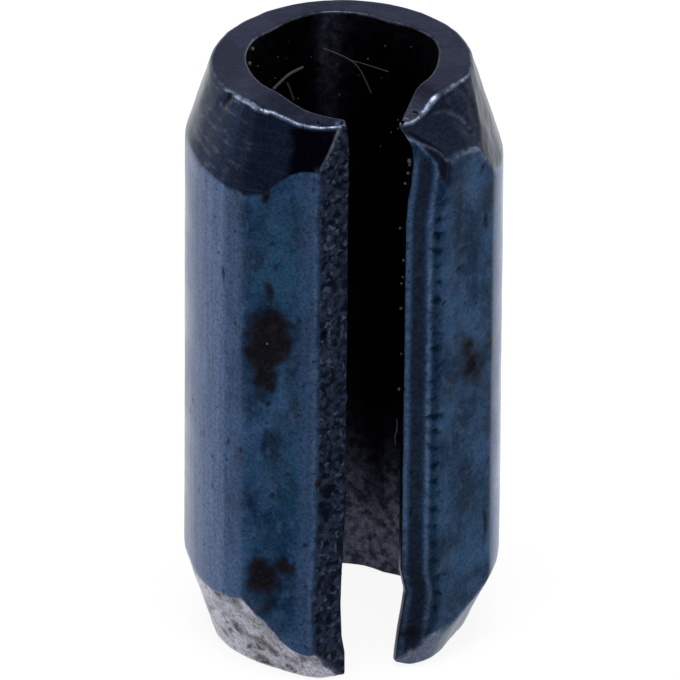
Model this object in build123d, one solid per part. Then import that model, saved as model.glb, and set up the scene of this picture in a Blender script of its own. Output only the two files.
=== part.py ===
from build123d import *
import os
from math import cos, radians, sin, sqrt

# A heavy-duty slotted spring pin: one strip of hardened and blued spring steel, rolled
# into a tube that never quite closes, with both ends turned down to a lead-in taper.
# Driven into a hole a little smaller than itself, it closes on its slot and grips.
# The pin stands on one end, its axis along +Z from the bottom end, its slot facing -Y.

# The sizes that drive the pin.
length = 10.0          # end to end
outer_d = 5.02         # across the free pin, before it is driven
wall = 1.0             # thickness of the rolled strip
slot = 0.94            # narrowest gap of the slot, nose to nose
lead_in = 1.42         # how far each end's taper reaches along the pin
lead_in_drop = 0.44    # what the taper takes off the radius at the end
edge_break = 0.06      # rounding of each end's outer rim and bevel of its bore mouth

# The two lips of the slot. The last of the strip is hard to roll, so it stays straight,
# and its sheared edge comes to a blunt nose instead of a square end.
lip_start = 49.5       # degrees from the middle of the slot where the round turns straight
lip_sink = 0.24        # how far the lip's outer corner sits inside the full round
shear_run = 0.54       # how far the nose stands past the outer corner, towards the slot
shear_drop = 0.15      # how far the nose lies deeper than the outer corner
mouth = 36.0           # degrees from the middle of the slot where the bore starts to open
corner_round = 0.09    # rollover of the lip's outer corner
nose_round = 0.05      # blunting of the nose

outer_r = outer_d / 2
bore_r = outer_r - wall
rim_r = outer_r - lead_in_drop


def on_circle(radius, angle, side):
    """The point of a circle that lies so many degrees from the slot, on its left or right."""
    return Vector(side * radius * sin(radians(angle)), -radius * cos(radians(angle)))


def lip(side):
    """The line of one lip, from the end of the outer round over the nose to the bore."""
    corner_x = slot / 2 + shear_run
    corner_y = -sqrt((outer_r - lip_sink) ** 2 - corner_x ** 2)
    start = on_circle(outer_r, lip_start, side)
    corner = Vector(side * corner_x, corner_y)
    nose = Vector(side * slot / 2, corner_y + shear_drop)
    inside = on_circle(bore_r, mouth, side)
    return start, corner, nose, inside


# The section of the rolled strip: outer round, two straight lips, and the round bore.
right_start, right_corner, right_nose, right_inside = lip(1)
left_start, left_corner, left_nose, left_inside = lip(-1)
with BuildSketch(Plane.XY) as section:
    with BuildLine():
        ThreePointArc(right_start, Vector(0, outer_r), left_start)
        Polyline(left_start, left_corner, left_nose, left_inside)
        ThreePointArc(left_inside, Vector(0, bore_r), right_inside)
        Polyline(right_inside, right_nose, right_corner, right_start)
    make_face()
    outer_corners = section.vertices().sort_by(Axis.Y)[0:2]
    fillet(outer_corners, corner_round)
    noses = section.vertices().sort_by(lambda v: abs(abs(v.X) - slot / 2))[0:2]
    fillet(noses, nose_round)
strip = extrude(section.sketch, amount=length)

# Both ends are turned down together to the lead-in taper, with the rim edge rounded.
# The two cones meet at mid-length, outside the strip, so only the ends are cut.
middle = length / 2
middle_r = rim_r + middle * lead_in_drop / lead_in
with BuildSketch(Plane.XZ) as turned:
    with BuildLine():
        Polyline((0, 0), (rim_r, 0), (middle_r, middle), (rim_r, length), (0, length), close=True)
    make_face()
    rims = turned.vertices().sort_by(lambda v: abs(v.X - rim_r))[0:2]
    fillet(rims, edge_break)
barrel = revolve(turned.sketch, axis=Axis.Z)
pin = strip & barrel

# The bore's two mouths are broken with a small bevel.
mouth_r = bore_r + edge_break
bottom_bevel = Cone(mouth_r, 0, mouth_r, align=(Align.CENTER, Align.CENTER, Align.MIN))
top_bevel = Pos(0, 0, length) * Rot(180, 0, 0) * bottom_bevel
pin = pin - bottom_bevel - top_bevel

pin.label = "spring_pin"
os.makedirs("parts", exist_ok=True)
export_step(pin, "parts/spring_pin.step")
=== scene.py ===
from math import cos, radians, sin

import bmesh
import bpy
import numpy as np
from mathutils import Matrix, Vector, noise


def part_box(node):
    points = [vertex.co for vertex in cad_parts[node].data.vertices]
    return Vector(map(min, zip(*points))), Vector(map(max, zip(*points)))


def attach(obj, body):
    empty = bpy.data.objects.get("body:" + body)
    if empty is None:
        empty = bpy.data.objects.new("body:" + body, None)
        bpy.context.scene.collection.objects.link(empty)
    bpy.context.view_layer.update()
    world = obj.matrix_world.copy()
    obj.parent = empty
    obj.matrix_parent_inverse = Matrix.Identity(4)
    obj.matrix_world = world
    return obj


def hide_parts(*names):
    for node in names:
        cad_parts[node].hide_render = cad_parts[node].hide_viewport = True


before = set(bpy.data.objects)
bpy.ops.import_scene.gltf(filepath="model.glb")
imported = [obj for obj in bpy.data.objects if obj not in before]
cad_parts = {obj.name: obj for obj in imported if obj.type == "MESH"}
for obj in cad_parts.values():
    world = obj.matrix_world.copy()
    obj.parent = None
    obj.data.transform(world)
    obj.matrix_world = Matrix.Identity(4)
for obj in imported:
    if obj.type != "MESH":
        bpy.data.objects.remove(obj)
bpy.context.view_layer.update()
MM = 0.001  # the sizes below are in millimetres, and Blender works in metres


# ---- The pin ----------------------------------------------------------------------------
# One strip of spring steel, sheared to width, rolled into an open tube, turned down at both
# ends, then hardened and blued. The last stretch beside each sheared edge stays nearly
# straight, and the edges come to blunt noses. Angles run from the slot, + to its right.
pin_low, pin_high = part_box("spring_pin")
length = (pin_high.z - pin_low.z) / MM
round_radius = 2.500
right_bend = 53.0                   # the round turns into the right lip over one bend,
left_bends = (-64.0, -55.0)         # and into the left one over two
corner = (1.000, -2.036)            # where a lip's flat meets its sheared edge, on either side
nose = (0.471, -1.876)              # where the sheared edge meets the slot
left_throat = [(-0.471, -1.78), (-0.78, -1.49), (-0.99, -1.26), (-1.15, -1.02)]
right_throat = [(0.465, -1.74), (0.60, -1.46), (0.85, -1.18)]
bore = [  # angle and radius: the bore is rolled a little out of round
    (-160, 1.55), (-147, 1.50), (-132, 1.56), (-111, 1.54), (-94, 1.51), (-75, 1.51),
    (-62, 1.49), (53, 1.43), (62, 1.43), (75, 1.45), (87, 1.51), (103, 1.57), (120, 1.53),
    (137, 1.46), (151, 1.55), (170, 1.61), (183, 1.62)]
bend_ease = 0.034                   # how far each bend of the section is eased
taper_slope = 0.310                 # how fast the ends' taper draws in
shortest_taper, typical_taper = 0.12, 1.4
shoulder_ease = 0.010               # rounding where a taper meets the round
edge_blunt = 0.045                  # rounding of the rims and of the bore's mouths
inside_below, outside_above = 1.75, 1.85    # radii that tell the bore from the skin
bore_spacing, round_spacing, lip_spacing, shear_spacing = 0.13, 0.085, 0.044, 0.026
fine_count = 6000                   # points that the section is first drawn with
taper_rows, row_step = 26, 0.042


def on_circle(radius, degrees):
    """Points about the pin's middle, at this radius and these angles."""
    around = np.radians(degrees)
    return np.stack([radius * np.sin(around), -radius * np.cos(around)], axis=-1)


def between(value, places):
    """What a few places, each a position and a value, come to in between."""
    return np.interp(value, *zip(*places))


def ease(value, start, end):
    """0 before start, 1 after end, and smooth between them."""
    t = np.clip((value - start) / (end - start), 0, 1)
    return t * t * (3 - 2 * t)


def hump(value, middle, half_width):
    """1 at the middle, falling away smoothly on both sides."""
    return np.exp(-((value - middle) / half_width) ** 2)


def smoothed(values, weights):
    """Values all the way round the section, each eased into its neighbours."""
    reach = len(weights) // 2
    around = np.concatenate([values[-reach:], values, values[:reach]])
    return np.convolve(around, weights / weights.sum(), "valid")


# The section: round the outside from the right lip to the left, then back through the bore.
around_bore = np.arange(-58, -312, -3)
outline = np.concatenate([
    on_circle(round_radius, np.linspace(right_bend, 360 + left_bends[0], 300)),
    on_circle(round_radius, left_bends[1:]),
    [(-corner[0], corner[1]), (-nose[0], nose[1])],
    left_throat,
    on_circle(np.interp(around_bore, *zip(*bore), period=360), around_bore),
    right_throat[::-1],
    [nose, corner]])
closed = np.concatenate([outline, outline[:1]])
run = np.concatenate([[0], np.cumsum(np.linalg.norm(np.diff(closed, axis=0), axis=1))])
fine_step = run[-1] / fine_count
even = np.linspace(0, run[-1], fine_count, endpoint=False)
bell = hump(np.arange(-60, 61) * fine_step, 0, bend_ease)
fine = np.stack([smoothed(np.interp(even, run, closed[:, k]), bell) for k in (0, 1)], axis=1)

# Its points are thinned out where it is plain, and kept close on the lips and in the bends.
lips_within, sheared_within, slot_within = 75, 28, 16       # degrees from the slot
ahead = np.roll(fine, -1, axis=0) - np.roll(fine, 1, axis=0)
heading = np.unwrap(np.arctan2(ahead[:, 1], ahead[:, 0]))
turning = np.abs(np.gradient(heading)) / fine_step
angle = np.degrees(np.arctan2(fine[:, 0], -fine[:, 1]))
radius = np.hypot(fine[:, 0], fine[:, 1])
spacing = np.where(np.abs(angle) < lips_within, lip_spacing, round_spacing)
spacing = np.where(radius < inside_below, bore_spacing, spacing)
sheared_side = (np.abs(angle) < sheared_within) & (radius > outside_above)
spacing = np.where(sheared_side, shear_spacing, spacing)
spacing = np.minimum(spacing, 0.18 / np.maximum(turning, 1e-6))
share = np.concatenate([[0], np.cumsum(fine_step / spacing[:-1])])
wanted = np.linspace(0, share[-1], int(share[-1]), endpoint=False)
picks = np.interp(wanted, share, np.arange(fine_count)).astype(int)
section, angle, radius = fine[picks], angle[picks], radius[picks]
outward = np.stack([np.sin(heading[picks]), -np.cos(heading[picks])], axis=1)
faces_slot = (np.abs(angle) < slot_within) & (outward[:, 1] > -0.3)
outer = (radius > outside_above) & ~faces_slot


def round_the_pin(*places):
    """A value for every column, eased so that its bends don't show as creases."""
    return smoothed(between(angle, places), np.hanning(13))


# The rims aren't quite even: the right lip was turned down further at both ends, and at the
# top it was dressed back at a steeper slope.
bottom_rim = round_the_pin(
    (-180, 2.06), (-90, 2.08), (-70, 2.11), (-60, 2.08), (-50, 2.055), (-42, 2.06), (-36, 2.09),
    (-30, 2.11), (-24, 2.085), (-20, 2.02), (-14, 1.95), (10, 1.89), (18, 1.96), (24, 2.03),
    (31, 2.06), (39, 1.99), (46, 1.92), (69, 1.95), (90, 1.97), (120, 2.03), (180, 2.06))
bottom_slope = round_the_pin(
    (-14, taper_slope), (10, 0.35), (18, 0.28), (24, 0.33), (31, 0.36), (39, 0.45), (50, 0.49),
    (70, 0.42), (95, 0.385), (130, taper_slope))
top_rim = round_the_pin(
    (-180, 2.03), (-150, 2.03), (-120, 2.07), (-95, 2.12), (-70, 2.08), (-60, 2.06), (-55.5, 2.08),
    (-52, 2.01), (-48, 1.96), (-42, 1.975), (-37, 2.00), (-14, 2.00), (45, 2.08), (62, 2.00),
    (76, 2.00), (140, 2.01), (180, 2.03))
dressed_rim = round_the_pin(
    (4, 2.20), (8, 1.80), (14, 1.80), (20, 1.83), (27, 1.87), (33, 1.85), (41, 1.86), (50, 1.91),
    (57, 1.97), (66, 2.02), (76, 2.04), (90, 2.20))
dressed_slope = round_the_pin(
    (8, 0.55), (14, 0.50), (20, 0.46), (28, 0.44), (36, 0.48), (45, 0.50), (57, 0.46), (76, 0.31))
wobble = np.array([noise.noise(Vector((*p, 4.0)) * 2.6) + 0.5 * noise.noise(Vector((*p, 9.0)) * 7)
                   for p in section])
bottom_rim += 0.012 * wobble
top_rim -= 0.006 * wobble
bottom_cut = np.maximum((radius - bottom_rim) / bottom_slope, shortest_taper)
top_cut = np.maximum((radius - top_rim) / taper_slope, (radius - dressed_rim) / dressed_slope)
top_cut = np.maximum(top_cut, shortest_taper)

# Rows of the skin: round the edge, up the taper, along the body, and the same to the top.
# Each edge row has how far it stands in from the end, and how far in from the skin.
body_rows = int((length - 2 * typical_taper) / row_step)
blunt = edge_blunt * (1 + outer * (0.5 * hump(angle, 33, 22) + 0.5 * hump(angle, -55, 30)))
edge_rows = [(0 * blunt, 1.5 * blunt)]
edge_rows += [(blunt * (1 - sin(q)), blunt * (1 - cos(q))) for q in np.radians(np.linspace(90, 0, 5))]
up_taper = np.arange(1, taper_rows + 1) / taper_rows
bottom_heights = [up for up, _ in edge_rows] + [blunt + (bottom_cut - blunt) * t for t in up_taper]
top_heights = [up for up, _ in edge_rows] + [blunt + (top_cut - blunt) * t for t in up_taper]
body_heights = [bottom_cut + (length - top_cut - bottom_cut) * k / body_rows for k in range(1, body_rows)]
height = np.array(bottom_heights + body_heights + [length - up for up in top_heights[::-1]])
inset = np.zeros_like(height)
inset[:len(edge_rows)] = [back for _, back in edge_rows]
inset[-len(edge_rows):] = [back for _, back in edge_rows[::-1]]
down = length - height
at_top = height > length / 2
skin = np.stack(np.broadcast_arrays(section[:, 0], section[:, 1], height), axis=-1).reshape(-1, 3)


def clouds(size, seed):
    """Cloudy noise over the skin, with lumps of about this size."""
    shift = Vector((seed, 0.37 * seed, 0.0))
    return np.array([noise.noise(Vector(p) / size + shift) for p in skin]).reshape(height.shape)


broad = clouds(1.5, 3)
middling = clouds(0.42, 11)
small = clouds(0.17, 23)
tiny = clouds(0.09, 31)
taper_radius = np.minimum(top_rim + taper_slope * down, dressed_rim + dressed_slope * down)
taper_radius = np.minimum(bottom_rim + bottom_slope * height, taper_radius)
taper_radius += 0.010 * middling + 0.006 * small
turned = ease(radius - taper_radius, 0.0, 0.012) * outer
shrink = -shoulder_ease * np.logaddexp(-radius / shoulder_ease, -taper_radius / shoulder_ease) / radius
x = section[:, 0] * shrink - outward[:, 0] * inset
y = section[:, 1] * shrink - outward[:, 1] * inset
z = height.copy()

# The lips wander a little near the ends. Their top corners sag, and the right one's foot is
# worn a little short.
right_leans = [  # height, and how far the right lip stands out to the right
    (0, -0.11), (0.3, -0.09), (0.6, -0.06), (1.05, 0.01), (1.35, 0.05), (1.75, -0.03), (8.0, 0),
    (8.4, 0.03), (8.7, 0.08), (9.1, 0.11), (9.5, 0.08), (9.75, 0.01), (10, -0.08)]
left_leans = [(0, 0.0), (0.4, 0.0), (0.7, -0.05), (1.3, -0.07), (1.9, -0.05), (3, 0.0),
              (9, 0.02), (9.6, 0.02), (10, -0.04)]
on_right = angle > 0
on_lip = 1 - ease(np.abs(angle), 16, 62)
x += np.where(on_right, between(height, right_leans), between(height, left_leans)) * on_lip
right_sag = 0.31 * (1 - ease(angle, 20, 40)) * on_right
right_foot = 0.10 * (1 - ease(angle, 11, 22)) * on_right
left_sag = between(-angle, [(-1, 0), (0, 0.09), (14, 0.10), (24, 0.145), (36, 0.14), (48, 0.07), (62, 0)])
z -= right_sag * ease(height, length - 1.0, length)
z -= left_sag * np.where(outer, 1, 0.6) * ease(height, length - 0.8, length)
z += right_foot * (1 - ease(height, 0, 0.5))

# Relief: a soft waviness from rolling, torn grain on the sheared edges, a groove down the right
# one, and the shear's chatter marks beside it.
sheared = outer * (1 - ease(np.abs(angle), 24.5, 27.0)) * (1 - turned)
left_sheared, right_sheared = sheared * (angle < 0), sheared * on_right
relief = 0.006 * broad + np.where(outer, 0.003, 0.004) * middling
relief += left_sheared * (0.028 * tiny + 0.032 * small - 0.012)
relief += right_sheared * (0.008 * small + 0.006 * tiny)
groove = ease(angle, 16.4, 17.8) * (1 - ease(angle, 20.4, 21.8)) * outer
relief -= 0.012 * groove * ease(height, 0.5, 1.4) * ease(down, 0.5, 1.2)

shear = np.random.default_rng(5)
chatter = np.zeros_like(x)
bite = 0.75
while bite < length - 1.9:
    bite += shear.uniform(0.25, 0.33)
    middle = 25.4 + shear.uniform(-0.4, 0.4) + shear.uniform(0, 8) * (z - bite) + 2.5 * small
    dent = hump(angle, middle, shear.uniform(1.7, 2.3))
    dent = dent * hump(z + 0.05 * tiny, bite, shear.uniform(0.055, 0.08))
    chatter = np.maximum(chatter, dent * shear.uniform(0.65, 1.0) * outer)
relief -= 0.050 * chatter

# At its top the right lip's corner was rolled over toward the tip, which leaves a fold, painted
# dark below as its shade, and the land that was dressed back ends at a ledge.
fold_top = between(angle, [(14.5, 9.74), (20, 9.47), (25, 9.25), (28.5, 9.00)])
fold_foot = between(angle, [(15.6, 9.52), (18.3, 9.34), (22.5, 9.07), (24.5, 8.80), (27.0, 8.62)])
fold = ease(fold_top - z, -0.02, 0.05) * ease(z - fold_foot, -0.02, 0.06)
fold *= ease(angle, 15, 17) * (1 - ease(angle, 28, 30)) * ease(down, 0.12, 0.25) * outer
relief -= 0.025 * fold
ledge = between(down, [(0.05, 28), (0.22, 35.5), (0.40, 41.5), (0.52, 44), (0.64, 45.5),
                       (0.86, 47), (1.08, 48)])
dressed = ease(ledge - angle, -0.4, 1.4) * ease(angle, 8, 9) * turned * (down < 2)
relief -= 0.025 * dressed

# Knocks and rust that the pin has picked up.
knocks = [  # angle, height, half-width in degrees, half-height, depth
    (-22.0, 3.42, 3.0, 0.16, 0.06), (-25.5, 3.62, 2.0, 0.10, 0.03), (-74.5, 9.90, 1.6, 0.10, 0.06),
    (-77.5, 9.76, 1.6, 0.10, 0.05), (36.0, 7.05, 1.2, 0.06, 0.01), (-24.0, 6.3, 1.5, 0.08, 0.03)]
# This marks the dents' middles, where shade is painted in.
knock_shade = np.zeros_like(x)
for at, up, wide, tall, deep in knocks:
    relief -= deep * hump(angle, at, wide) * hump(z, up, tall) * outer
    knock_shade = np.maximum(knock_shade, hump(angle, at, 0.8 * wide) * hump(z, up, 0.8 * tall) * outer)
rust_spots = [  # angle, height, half-width in degrees, half-height, strength
    (-47.0, 5.95, 6.4, 0.70, 1.0), (-41.5, 6.20, 4.8, 0.48, 0.95), (-47.6, 5.62, 4.6, 0.52, 1.0),
    (-45.0, 6.97, 1.8, 0.30, 0.62), (-46.4, 8.67, 1.2, 0.13, 0.8), (-42.9, 7.42, 2.4, 0.10, 0.6),
    (-45.4, 4.96, 1.0, 0.10, 0.7), (-32.0, 5.38, 0.9, 0.08, 0.7), (-47.7, 4.33, 1.4, 0.20, 0.6),
    (-62.4, 4.10, 1.2, 0.09, 0.7), (-55.0, 4.05, 1.2, 0.08, 0.7), (-65.0, 7.04, 1.1, 0.26, 0.6),
    (-59.3, 6.43, 1.1, 0.09, 0.5), (-85.5, 4.33, 1.5, 0.09, 0.8), (-78.0, 3.96, 1.2, 0.08, 0.7),
    (-90.5, 4.07, 1.8, 0.10, 0.7), (-106.2, 2.52, 2.4, 0.12, 0.7), (-47.0, 1.82, 7.5, 0.36, 0.82),
    (-38.0, 2.05, 5.0, 0.17, 0.85), (-45.0, 1.30, 5.0, 0.30, 0.50), (-50.0, 3.20, 5.0, 0.40, 0.38),
    (-46.0, 2.60, 3.0, 0.30, 0.36), (-34.0, 7.60, 3.0, 0.20, 0.34), (51.0, 6.75, 3.4, 0.50, 0.46),
    (46.0, 7.40, 4.5, 0.22, 0.42), (42.0, 5.30, 4.6, 0.50, 0.74), (46.0, 5.02, 4.4, 0.36, 0.60),
    (36.0, 6.95, 2.0, 0.40, 0.40), (48.4, 8.63, 1.2, 0.10, 0.7), (50.0, 7.70, 1.1, 0.14, 0.7),
    (50.5, 2.30, 1.4, 0.65, 0.6), (44.0, 3.30, 2.0, 0.35, 0.4), (128.0, 3.6, 6.0, 0.5, 0.8),
    (165.0, 7.2, 5.0, 0.35, 0.7), (-140.0, 5.6, 5.5, 0.6, 0.8), (-160.0, 2.2, 3.0, 0.25, 0.7)]
rust = np.zeros_like(x)
for at, up, wide, tall, strength in rust_spots:
    far = ((angle + 2.5 * middling - at) / wide) ** 2 + ((z + 0.12 * small - up) / tall) ** 2
    rust = np.maximum(rust, strength * np.exp(-0.7 * far) * outer)
relief += 0.005 * ease(rust, 0.2, 0.9) * (0.5 + small + tiny)
x += outward[:, 0] * relief
y += outward[:, 1] * relief

# The skin's faces, and then those that close the two ends: triangles between the outside and
# the bore, taken as their columns come up on a turn about the pin.
low, high = np.array(pin_low) / MM, np.array(pin_high) / MM
points = np.stack([x, y, z], axis=-1).reshape(-1, 3) + [0, 0, low[2]]
points = np.clip(points, low + 0.001, high - [0.001, 0.001, 0])
index = np.arange(len(points)).reshape(x.shape)
below, above = index[:-1], index[1:]
quads = [below, np.roll(below, -1, axis=1), np.roll(above, -1, axis=1), above]
faces = np.stack(quads, axis=-1).reshape(-1, 4).tolist()
in_turn = np.argsort(np.mod(angle, 360))
outside = next(column for column in in_turn if outer[column])
inside = next(column for column in in_turn if not outer[column])
first_ones = (outside, inside)
for column in in_turn:
    triangle = [outside, column, inside]
    if column not in first_ones:
        faces += [index[-1, triangle].tolist(), index[0, triangle[::-1]].tolist()]
    outside, inside = (column, inside) if outer[column] else (outside, column)


def put_in_scene(name, data):
    thing = bpy.data.objects.new(name, data)
    bpy.context.scene.collection.objects.link(thing)
    return thing


mesh = bpy.data.meshes.new("rolled_pin")
mesh.from_pydata((points * MM).tolist(), [], faces)
mesh.polygons.foreach_set("use_smooth", [True] * len(mesh.polygons))
pin = put_in_scene("rolled_pin", mesh)

# Marks that the finish below reads: each is 1 where it holds, and 0 elsewhere.
on_end = ease(inset / blunt, 0.7, 1.0)
bare = turned * ~at_top * (1 - ease(angle, 0, 10) * (1 - ease(angle, 70, 110)))
# Edges partly worn and partly painted as highlights: the rims, stronger at the front, the taper's end, the
# left shear's edge and the ledge's lip.
worn_and_highlit_rim = ease(inset, 0.0, 0.01) * (1 - ease(inset / blunt, 0.5, 0.9)) * np.where(outer, 1.0, 0.35)
worn_and_highlit_rim *= 0.30 + 0.65 * np.maximum(hump(angle, 32, 26), hump(angle, -62, 20) + 0.8 * hump(angle, -20, 12))
taper_end = hump(radius - taper_radius, 0.0, 0.020) * outer * ease(angle, -29, -26)
shear_edge = hump(angle, -27.4, 0.9) * outer * (1 - turned)
ledge_edge = hump(angle, ledge, 1.2) * turned * ease(down, 0.1, 0.2) * (down < 2)
worn_and_highlit_edges = np.maximum.reduce([worn_and_highlit_rim, 0.60 * taper_end, 0.18 * shear_edge, 0.30 * ledge_edge])
# Pale lines painted as highlights, with some burnish: at the fold's foot and down the right shear.
bright_fold = hump(z, fold_foot - 0.04, 0.04) * ease(angle, 15, 17) * (1 - ease(angle, 23, 25))
bright_lines = (hump(angle, 22.9, 0.8) + 0.7 * hump(angle, 15.4, 1.0)) * ease(down, 0.7, 1.2)
foot_corner = outer * ease(angle, 9, 12) * (1 - ease(angle, 22, 31))
# The bore is painted darker deep inside and beside the slot, as its shade.
far_in = ease(height, 1.3, 3.2) * (1 - 0.35 * ease(height, 8.0, 9.8))
marks = {
    "round_side": outer * (0.6 * ease(np.abs(angle), 61.5, 67.0) + 0.4 * ease(np.abs(angle), 52.5, 58.0)),
    "right_round_reflection": ease(angle, 54, 63) * (1 - ease(angle, 90, 150)) * outer * (1 - turned),
    "corner_stripe": ease(angle, -36, -31) * (1 - ease(angle, -27.5, -26)) * outer,
    "burnished_and_highlit": np.maximum(bright_fold, bright_lines) * outer,
    "top_taper": turned * at_top,
    "bottom_taper": turned * ~at_top,
    "bare_metal": bare,
    "end_face": on_end,
    "right_tip": on_end * ease(angle, 14, 16) * (1 - ease(angle, 24, 42)),
    "foot_wear": 1 - ease(height + 0.25 * middling, 0.35, 1.0),
    "knock_shade": knock_shade,
    "left_shear": left_sheared,
    "right_shear": right_sheared,
    "inner_side": ~outer,
    "rust": rust,
    "worn_and_highlit_edges": worn_and_highlit_edges,
    "soot": ease(angle, -46, -32) * (1 - ease(angle, -19, -16)) * turned * ease(down, 0.0, 0.14) * (down < 2),
    "dressed_back": dressed,
    "chatter": chatter,
    "groove": groove * ease(down, 0.5, 1.0),
    "fold": fold,
    "foot_soot": np.maximum(hump(z, 0.62, 0.20), 0.55 * (1 - ease(z, 1.4, 2.6))) * foot_corner,
    "deep_inside_shade": ~outer * np.maximum(far_in, 0.8 * (1 - ease(np.abs(angle), 18, 30))),
}
for name, values in marks.items():
    values = np.broadcast_to(values, x.shape).astype(np.float32)
    mesh.attributes.new(name, "FLOAT", "POINT").data.foreach_set("value", values.ravel())
mesh.update()

# Its finish: heat-blued steel, deep blue on the lips' flats, painted paler on the round side as a reflection,
# nearly black where it was sheared, painted nearly black on the turned top taper as a dark reflection, and
# bare grey metal at the foot's taper, lightened partly as a painted reflection of the floor.
steel = bpy.data.materials.new("blued_spring_steel")
steel.use_nodes = True
nodes, links = steel.node_tree.nodes, steel.node_tree.links
shader = nodes["Principled BSDF"]
place = nodes.new("ShaderNodeTexCoord").outputs["Object"]


# These add to the nodes and links that were opened last: the steel's here, and further down
# the paper's and the room's.
def put(socket, value):
    """A plain value is set on the socket, a colour is made opaque, and an output is linked to it."""
    if isinstance(value, bpy.types.NodeSocket):
        links.new(value, socket)
    else:
        socket.default_value = (*value, 1) if isinstance(value, tuple) else value


def reckon(operation, a, b):
    node = nodes.new("ShaderNodeMath")
    node.operation = operation
    put(node.inputs[0], a)
    put(node.inputs[1], b)
    return node.outputs[0]


def both(a, b):
    return reckon("MULTIPLY", a, b)


def level(value, start, end, low=0.0, high=1.0):
    """A low amount up to start and a high one from end, with a smooth rise between."""
    node = nodes.new("ShaderNodeMapRange")
    node.interpolation_type = "SMOOTHSTEP"
    names = ("Value", "From Min", "From Max", "To Min", "To Max")
    for name, setting in zip(names, (value, start, end, low, high)):
        put(node.inputs[name], setting)
    return node.outputs["Result"]


def grain(size, stretch=(1, 1, 1), detail=3.0, seed=0.0):
    """Cloudy noise with grains of about this many millimetres."""
    mapping = nodes.new("ShaderNodeMapping")
    put(mapping.inputs["Vector"], place)
    mapping.inputs["Scale"].default_value = [1 / (size * MM * s) for s in stretch]
    mapping.inputs["Location"].default_value = (seed, seed * 0.7, seed * 1.3)
    texture = nodes.new("ShaderNodeTexNoise")
    texture.inputs["Scale"].default_value = 1
    texture.inputs["Detail"].default_value = detail
    put(texture.inputs["Vector"], mapping.outputs["Vector"])
    return texture.outputs["Fac"]


def mark_of(name):
    node = nodes.new("ShaderNodeAttribute")
    node.attribute_name = name
    return node.outputs["Fac"]


def paint(under, over, amount):
    node = nodes.new("ShaderNodeMix")
    node.data_type = "RGBA"
    for socket, value in zip((node.inputs[6], node.inputs[7], node.inputs[0]), (under, over, amount)):
        put(socket, value)
    return node.outputs[2]


on = {name: mark_of(name) for name in marks}
mottle = grain(0.9, detail=7, seed=1)
patch = grain(2.2, detail=3, seed=5)
streak = grain(0.09, (1, 1, 16), 4, 9)
pepper = grain(0.05, detail=3, seed=13)
speck = grain(0.16, detail=4, seed=17)
tool_rings = grain(0.05, (30, 30, 1), 3, 21)
clods = paint((0.002, 0.003, 0.008), (0.018, 0.024, 0.046), level(grain(0.13, detail=2, seed=51), 0.40, 0.60))
flecks = level(grain(0.10, detail=1, seed=53), 0.60, 0.70)
scuffs = level(grain(0.09, (3.5, 3.5, 1), 4, 25), 0.52, 0.68, 0, 0.36)
smudges = level(grain(0.50, (1, 1, 1.8), 7, 41), 0.48, 0.66, 0, 0.60)
pale_spots = level(grain(0.13, (1, 1, 1.5), 5, 45), 0.50, 0.72, 0, 0.50)
soot = level(reckon("ADD", on["soot"], both(grain(0.30, detail=5, seed=71), 0.9)), 0.68, 1.22)
bore_grain = level(grain(0.14, detail=7, seed=61), 0.34, 0.64)
bore_tone = paint((0.014, 0.015, 0.026), (0.062, 0.066, 0.096), bore_grain)
end_grain = level(reckon("ADD", both(mottle, 0.6), both(speck, 0.4)), 0.40, 0.60)
end_tone = paint((0.006, 0.008, 0.019), (0.018, 0.022, 0.046), end_grain)
foot_blotches = level(grain(0.45, (1, 1, 0.7), 7, 65), 0.42, 0.66, 0, level(on["foot_wear"], 0, 1, 0.5, 0.95))
pits = both(level(grain(0.12, detail=5, seed=29), 0.63, 0.70), level(on["inner_side"], 0, 1, 0.7, 0.5))
ragged = both(reckon("SUBTRACT", grain(0.22, detail=6, seed=57), 0.5), 0.9)
crust = level(reckon("ADD", on["rust"], ragged), 0.20, 0.78)
dry_crust = level(crust, 0.55, 1.0)
red_crust = both(level(dry_crust, 0.4, 1.0), level(grain(0.22, detail=3, seed=37), 0.50, 0.70, 0, 0.55))

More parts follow.
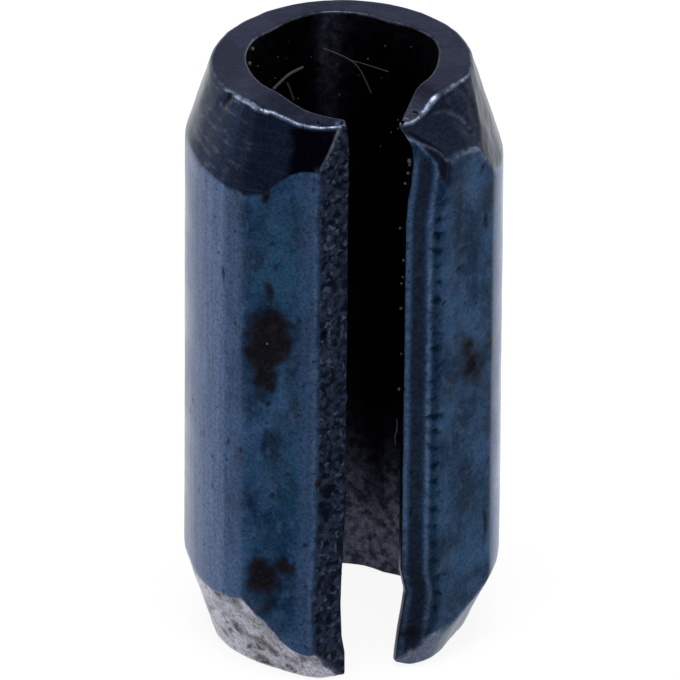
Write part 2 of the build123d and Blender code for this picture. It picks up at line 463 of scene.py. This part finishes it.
tone = paint((0.007, 0.024, 0.058), (0.028, 0.070, 0.150), level(mottle, 0.36, 0.62))
coats = [  # each coat's colour, and where and how strongly it shows over the ones before it
    # the blued skin, with painted reflections on its round sides
    ((0.008, 0.042, 0.076), level(patch, 0.52, 0.66, 0, 0.5)),
    ((0.011, 0.016, 0.026), smudges),
    ((0.044, 0.072, 0.142), pale_spots),
    ((0.034, 0.062, 0.132), both(on["corner_stripe"], level(streak, 0.3, 0.7, 0.5, 0.8))),
    # painted reflection: the round side is painted paler, as if it mirrored the bright room at a glancing
    # angle
    ((0.096, 0.140, 0.262), both(on["round_side"], level(streak, 0.30, 0.62, 0.6, 1.0))),
    # painted reflection: a pale strip painted down the right round side
    ((0.170, 0.225, 0.390), both(on["right_round_reflection"], level(streak, 0.3, 0.6, 0.6, 0.95))),
    # the turned taper at the top, painted dark as a reflection, its tool rings and scuffs, and the land
    # dressed back
    # painted dark reflection: the top taper is painted nearly black, as if it mirrored a dark room, a little
    # less on the round side
    ((0.006, 0.010, 0.024), both(on["top_taper"], level(on["round_side"], 0.2, 1.0, 1.0, 0.88))),
    ((0.026, 0.035, 0.058), both(on["top_taper"], level(tool_rings, 0.52, 0.74, 0, 0.40))),
    ((0.110, 0.130, 0.175), both(both(on["top_taper"], on["round_side"]), scuffs)),
    ((0.012, 0.018, 0.036), both(on["dressed_back"], level(mottle, 0.3, 0.6, 1.0, 0.8))),
    ((0.001, 0.001, 0.003), soot),
    # the sheared edges, with painted highlights on their ridges and painted shade in the groove, the fold and
    # the chatter marks
    (clods, both(on["left_shear"], 0.94)),
    ((0.060, 0.085, 0.140), both(on["left_shear"], both(flecks, 0.7))),
    ((0.009, 0.020, 0.044), both(on["right_shear"], 0.7)),
    # painted highlight, with some burnish: pale lines at the fold's foot and on the right shear
    ((0.065, 0.115, 0.215), both(on["burnished_and_highlit"], level(speck, 0.35, 0.6, 0.5, 1.0))),
    # painted shade: a dark band painted down the groove on the right shear
    ((0.010, 0.012, 0.022), both(on["groove"], level(speck, 0.35, 0.6, 0.9, 0.6))),
    # painted shade: the fold is painted nearly black
    ((0.006, 0.005, 0.009), both(on["fold"], 0.85)),
    ((0.005, 0.005, 0.008), both(on["foot_soot"], 0.85)),
    # painted shade: the chatter dimples are painted dark in their hollows
    ((0.001, 0.009, 0.018), level(on["chatter"], 0.08, 0.80, 0, 0.92)),
    # the bore, painted darker deep inside as its shade, and the ends, with the right tip painted lighter as a
    # reflection
    (bore_tone, on["inner_side"]),
    # painted shade deep in the bore and beside the slot
    ((0.003, 0.003, 0.006), both(on["deep_inside_shade"], 0.9)),
    (end_tone, on["end_face"]),
    # painted reflection: the right tip's end face, tilted by its sag, is painted lighter lavender grey
    ((0.046, 0.049, 0.072), both(on["right_tip"], 0.8)),
    # the foot's taper, where the metal is bare, and lightened partly as a painted reflection of the floor
    # partly painted reflection: the whole foot taper is painted lighter, as if it mirrored the pale floor
    ((0.150, 0.170, 0.245), both(on["bottom_taper"], 0.6)),
    ((0.430, 0.430, 0.500), both(on["bare_metal"], level(mottle, 0.30, 0.50, 0.7, 1.0))),
    ((0.080, 0.070, 0.074), both(on["bare_metal"], foot_blotches)),
    ((0.016, 0.013, 0.014), both(on["bare_metal"], level(speck, 0.54, 0.68, 0, 0.8))),
    # painted shade in the knocks, edges both worn and painted as highlights, pits and rust
    # painted shade: the knocks are painted nearly black in their hollows
    ((0.003, 0.003, 0.006), level(on["knock_shade"], 0.1, 0.6, 0, 0.85)),
    # partly wear, partly painted highlight: pale lines along the rims and edges
    ((0.21, 0.255, 0.355), both(on["worn_and_highlit_edges"], level(speck, 0.38, 0.62, 0.15, 0.85))),
    ((0.006, 0.007, 0.010), pits),
    ((0.0, 0.0, 0.0), level(pepper, 0.33, 0.64, 0.38, 0.0)),
    ((0.0026, 0.0020, 0.0026), both(crust, 0.96)),
    ((0.012, 0.009, 0.010), both(crust, level(pepper, 0.5, 0.7, 0, 0.7))),
    ((0.016, 0.009, 0.008), red_crust)]
for colour, amount in coats:
    tone = paint(tone, colour, amount)
put(shader.inputs["Base Color"], tone)
put(shader.inputs["Metallic"], level(dry_crust, 0.0, 1.0, 1.0, 0.2))
put(shader.inputs["Specular IOR Level"], level(dry_crust, 0.0, 0.3, 0.5, 0.05))
put(shader.inputs["Specular Tint"], paint((0.95, 0.97, 1.0), (0.80, 0.82, 0.96), on["end_face"]))
dullness = reckon("ADD", level(mottle, 0.3, 0.7, 0.30, 0.40), both(on["left_shear"], 0.10))
dullness = reckon("SUBTRACT", dullness, both(on["round_side"], 0.08))
put(shader.inputs["Roughness"], reckon("MAXIMUM", dullness, level(dry_crust, 0.0, 1.0, 0.0, 0.8)))
bump = nodes.new("ShaderNodeBump")
bump.inputs["Strength"].default_value = 1.0
bump.inputs["Distance"].default_value = 0.0022 * MM
put(bump.inputs["Height"], reckon("ADD", reckon("ADD", pepper, speck), both(tool_rings, on["top_taper"])))
put(shader.inputs["Normal"], bump.outputs["Normal"])
mesh.materials.append(steel)
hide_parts("spring_pin")
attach(pin, "root")


# ---- Lint in the bore -------------------------------------------------------------------
# Loose textile fibres, shed by a cloth. They have caught on the rough wall of the bore and on
# the right lip, where a film of oil holds them.
def plain_finish(name, colour, roughness):
    finish = bpy.data.materials.new(name)
    finish.use_nodes = True
    finish.node_tree.nodes["Principled BSDF"].inputs["Base Color"].default_value = (*colour, 1)
    finish.node_tree.nodes["Principled BSDF"].inputs["Roughness"].default_value = roughness
    return finish


lint_finish = plain_finish("pale_lint", (0.026, 0.023, 0.022), 0.8)
fibres = {  # thickness, then the points it runs through: across, back and up
    "long_fibre": (0.024, [(0.05, 1.40, 9.47), (0.31, 1.37, 9.34), (0.54, 1.30, 9.20),
                           (0.66, 1.24, 9.00), (0.77, 1.17, 8.69)]),
    "branching_fibre": (0.014, [(0.45, 1.34, 9.24), (0.72, 1.22, 9.18), (1.01, 1.00, 9.12)]),
    "thick_fibre": (0.048, [(-0.85, 1.10, 9.02), (-0.62, 1.25, 9.12), (-0.46, 1.32, 9.17),
                            (-0.29, 1.36, 9.20)]),
    "bent_fibre": (0.040, [(-0.58, 1.27, 9.02), (-0.51, 1.31, 8.84), (-0.45, 1.33, 8.66)]),
    "lip_fibre": (0.016, [(0.40, -1.70, 4.42), (0.43, -1.66, 4.22), (0.38, -1.62, 4.02),
                          (0.42, -1.60, 3.90)]),
}
for name, (thickness, path) in fibres.items():
    curve = bpy.data.curves.new(name, "CURVE")
    curve.dimensions = "3D"
    curve.bevel_depth = thickness / 2 * MM
    curve.bevel_resolution = 2
    spline = curve.splines.new("NURBS")
    spline.points.add(len(path) - 1)
    for point, spot in zip(spline.points, path):
        point.co = (*(along * MM for along in spot), 1)
    spline.use_endpoint_u = True
    spline.order_u = 3
    curve.materials.append(lint_finish)
    fibre = put_in_scene(name, curve)
    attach(fibre, "root")


# ---- Dust -------------------------------------------------------------------------------
# Pale grains of grit and dust, stuck in the same film of oil: the larger ones just inside the
# right lip and at the bore's mouth, and the fine ones on the bore's far wall.
dust_finish = plain_finish("pale_dust", (0.052, 0.044, 0.036), 0.9)
chance = np.random.default_rng(12)
lip_edge = 0.462                    # how far across the right lip's edge is, where it doesn't lean
wall = 1.47                         # radius at which the fine dust lies on the bore
grains = []                         # each one's place across, back and up, and its size
for up in [9.02, 8.96, 8.80, 8.58, 7.77, 7.30, 6.99, 6.84, 6.39, 5.60, 4.92, 2.6]:
    back = chance.uniform(-1.80, -1.58)
    size = chance.uniform(0.5, 1) * (0.028 + 0.018 * (up > 8.5))
    grains.append((lip_edge + between(up, right_leans), back, up, size))
grains += [(-1.38, 0.58, 9.82, 0.035), (-1.24, 0.93, 9.88, 0.035), (-1.48, 0.28, 9.78, 0.03),
           (1.02, 1.09, 9.93, 0.03), (-0.80, 1.26, 8.66, 0.05), (-0.74, 1.30, 8.55, 0.04),
           (-1.700, -1.640, 6.04, 0.022), (0.77, -1.945, 5.66, 0.018)]
for degrees in chance.uniform(110, 250, 30):
    grains.append((*on_circle(wall, degrees), chance.uniform(7.6, 9.8), chance.uniform(0.006, 0.015)))
build = bmesh.new()
for across, back, up, size in grains:
    shape = (size, size * chance.uniform(0.6, 1), size * chance.uniform(0.7, 1.3))
    squash = Matrix.Diagonal((*(half * MM for half in shape), 1))
    spin = Matrix.Rotation(chance.uniform(0, 3), 4, "Z")
    move = Matrix.Translation(Vector((across, back, up)) * MM)
    made = bmesh.ops.create_icosphere(build, subdivisions=2, radius=1, matrix=move @ spin @ squash)
    for vertex in made["verts"]:
        vertex.co += Vector(chance.uniform(-0.12, 0.12, 3)) * size * MM
dust_mesh = bpy.data.meshes.new("dust")
build.to_mesh(dust_mesh)
build.free()
dust_mesh.materials.append(dust_finish)
dust = put_in_scene("dust", dust_mesh)
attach(dust, "root")


# ---- Floor, camera and light ------------------------------------------------------------
# A pale sheet of paper that the pin stands on, in a white room. A soft lamp hangs over it, and
# one stands at either side. What the camera sees behind the pin is plain white.
half_sheet = 0.8                    # in metres
white_share = 0.90                  # of the sheet, to the camera; the rest shows the pin's shadow
room_light = 0.35                   # how strongly the white room lights the pin
sheet_corners = [(-half_sheet, -half_sheet, 0), (half_sheet, -half_sheet, 0),
                 (half_sheet, half_sheet, 0), (-half_sheet, half_sheet, 0)]
floor_mesh = bpy.data.meshes.new("floor")
floor_mesh.from_pydata(sheet_corners, [], [(0, 1, 2, 3)])
floor = put_in_scene("floor", floor_mesh)
floor.location.z = pin_low.z - 0.01 * MM
paper = plain_finish("pale_paper", (0.92, 0.92, 0.92), 0.9)
nodes, links = paper.node_tree.nodes, paper.node_tree.links
shader = nodes["Principled BSDF"]
shader.inputs["Specular IOR Level"].default_value = 0


def looked_at():
    """1 on what the camera looks at, also in a reflection or through glass, and 0 for the light."""
    rays = nodes.new("ShaderNodeLightPath").outputs
    seen = reckon("MAXIMUM", rays["Is Camera Ray"], rays["Is Glossy Ray"])
    return reckon("MAXIMUM", seen, rays["Is Transmission Ray"])


glow = nodes.new("ShaderNodeEmission")
mix = nodes.new("ShaderNodeMixShader")
put(mix.inputs[0], both(looked_at(), white_share))
put(mix.inputs[1], shader.outputs[0])
put(mix.inputs[2], glow.outputs[0])
put(nodes["Material Output"].inputs["Surface"], mix.outputs[0])
floor_mesh.materials.append(paper)

camera_turn, camera_rise, camera_distance = radians(-16), radians(29), 0.265
target = Vector((0, 0, 0.005))
render_width, moved_right, moved_up = 680, -3.0, -1.0       # the camera's shift, in render points
away = Vector((sin(camera_turn) * cos(camera_rise), -cos(camera_turn) * cos(camera_rise), sin(camera_rise)))
camera = put_in_scene("camera", bpy.data.cameras.new("camera"))
bpy.context.scene.camera = camera
camera.location = target + away * camera_distance
roll = Matrix.Rotation(radians(0.35), 4, "Z").to_quaternion()
camera.rotation_euler = (away.to_track_quat("Z", "Y") @ roll).to_euler()
camera.data.lens = 889
camera.data.sensor_width = 36
camera.data.clip_start = 0.01
camera.data.shift_x = moved_right / render_width
camera.data.shift_y = moved_up / render_width

lamps = [  # name, place, width and power
    ("top_lamp", (-0.02, -0.06, 0.34), 0.20, 1.1),
    ("left_lamp", (-0.34, 0.10, 0.16), 0.22, 0.5),
    ("right_lamp", (0.34, 0.12, 0.16), 0.22, 0.5)]
for name, spot, width, power in lamps:
    lamp = put_in_scene(name, bpy.data.lights.new(name, "AREA"))
    lamp.data.size = width
    lamp.data.energy = power
    lamp.location = spot
    lamp.rotation_euler = (lamp.location - target).to_track_quat("Z", "Y").to_euler()

world = bpy.data.worlds.new("white_room")
bpy.context.scene.world = world
world.use_nodes = True
nodes, links = world.node_tree.nodes, world.node_tree.links
nodes["Background"].inputs["Color"].default_value = (1, 1, 1, 1)
put(nodes["Background"].inputs["Strength"], level(looked_at(), 0, 1, room_light, 1.0))

bpy.context.scene.view_settings.view_transform = "Standard"
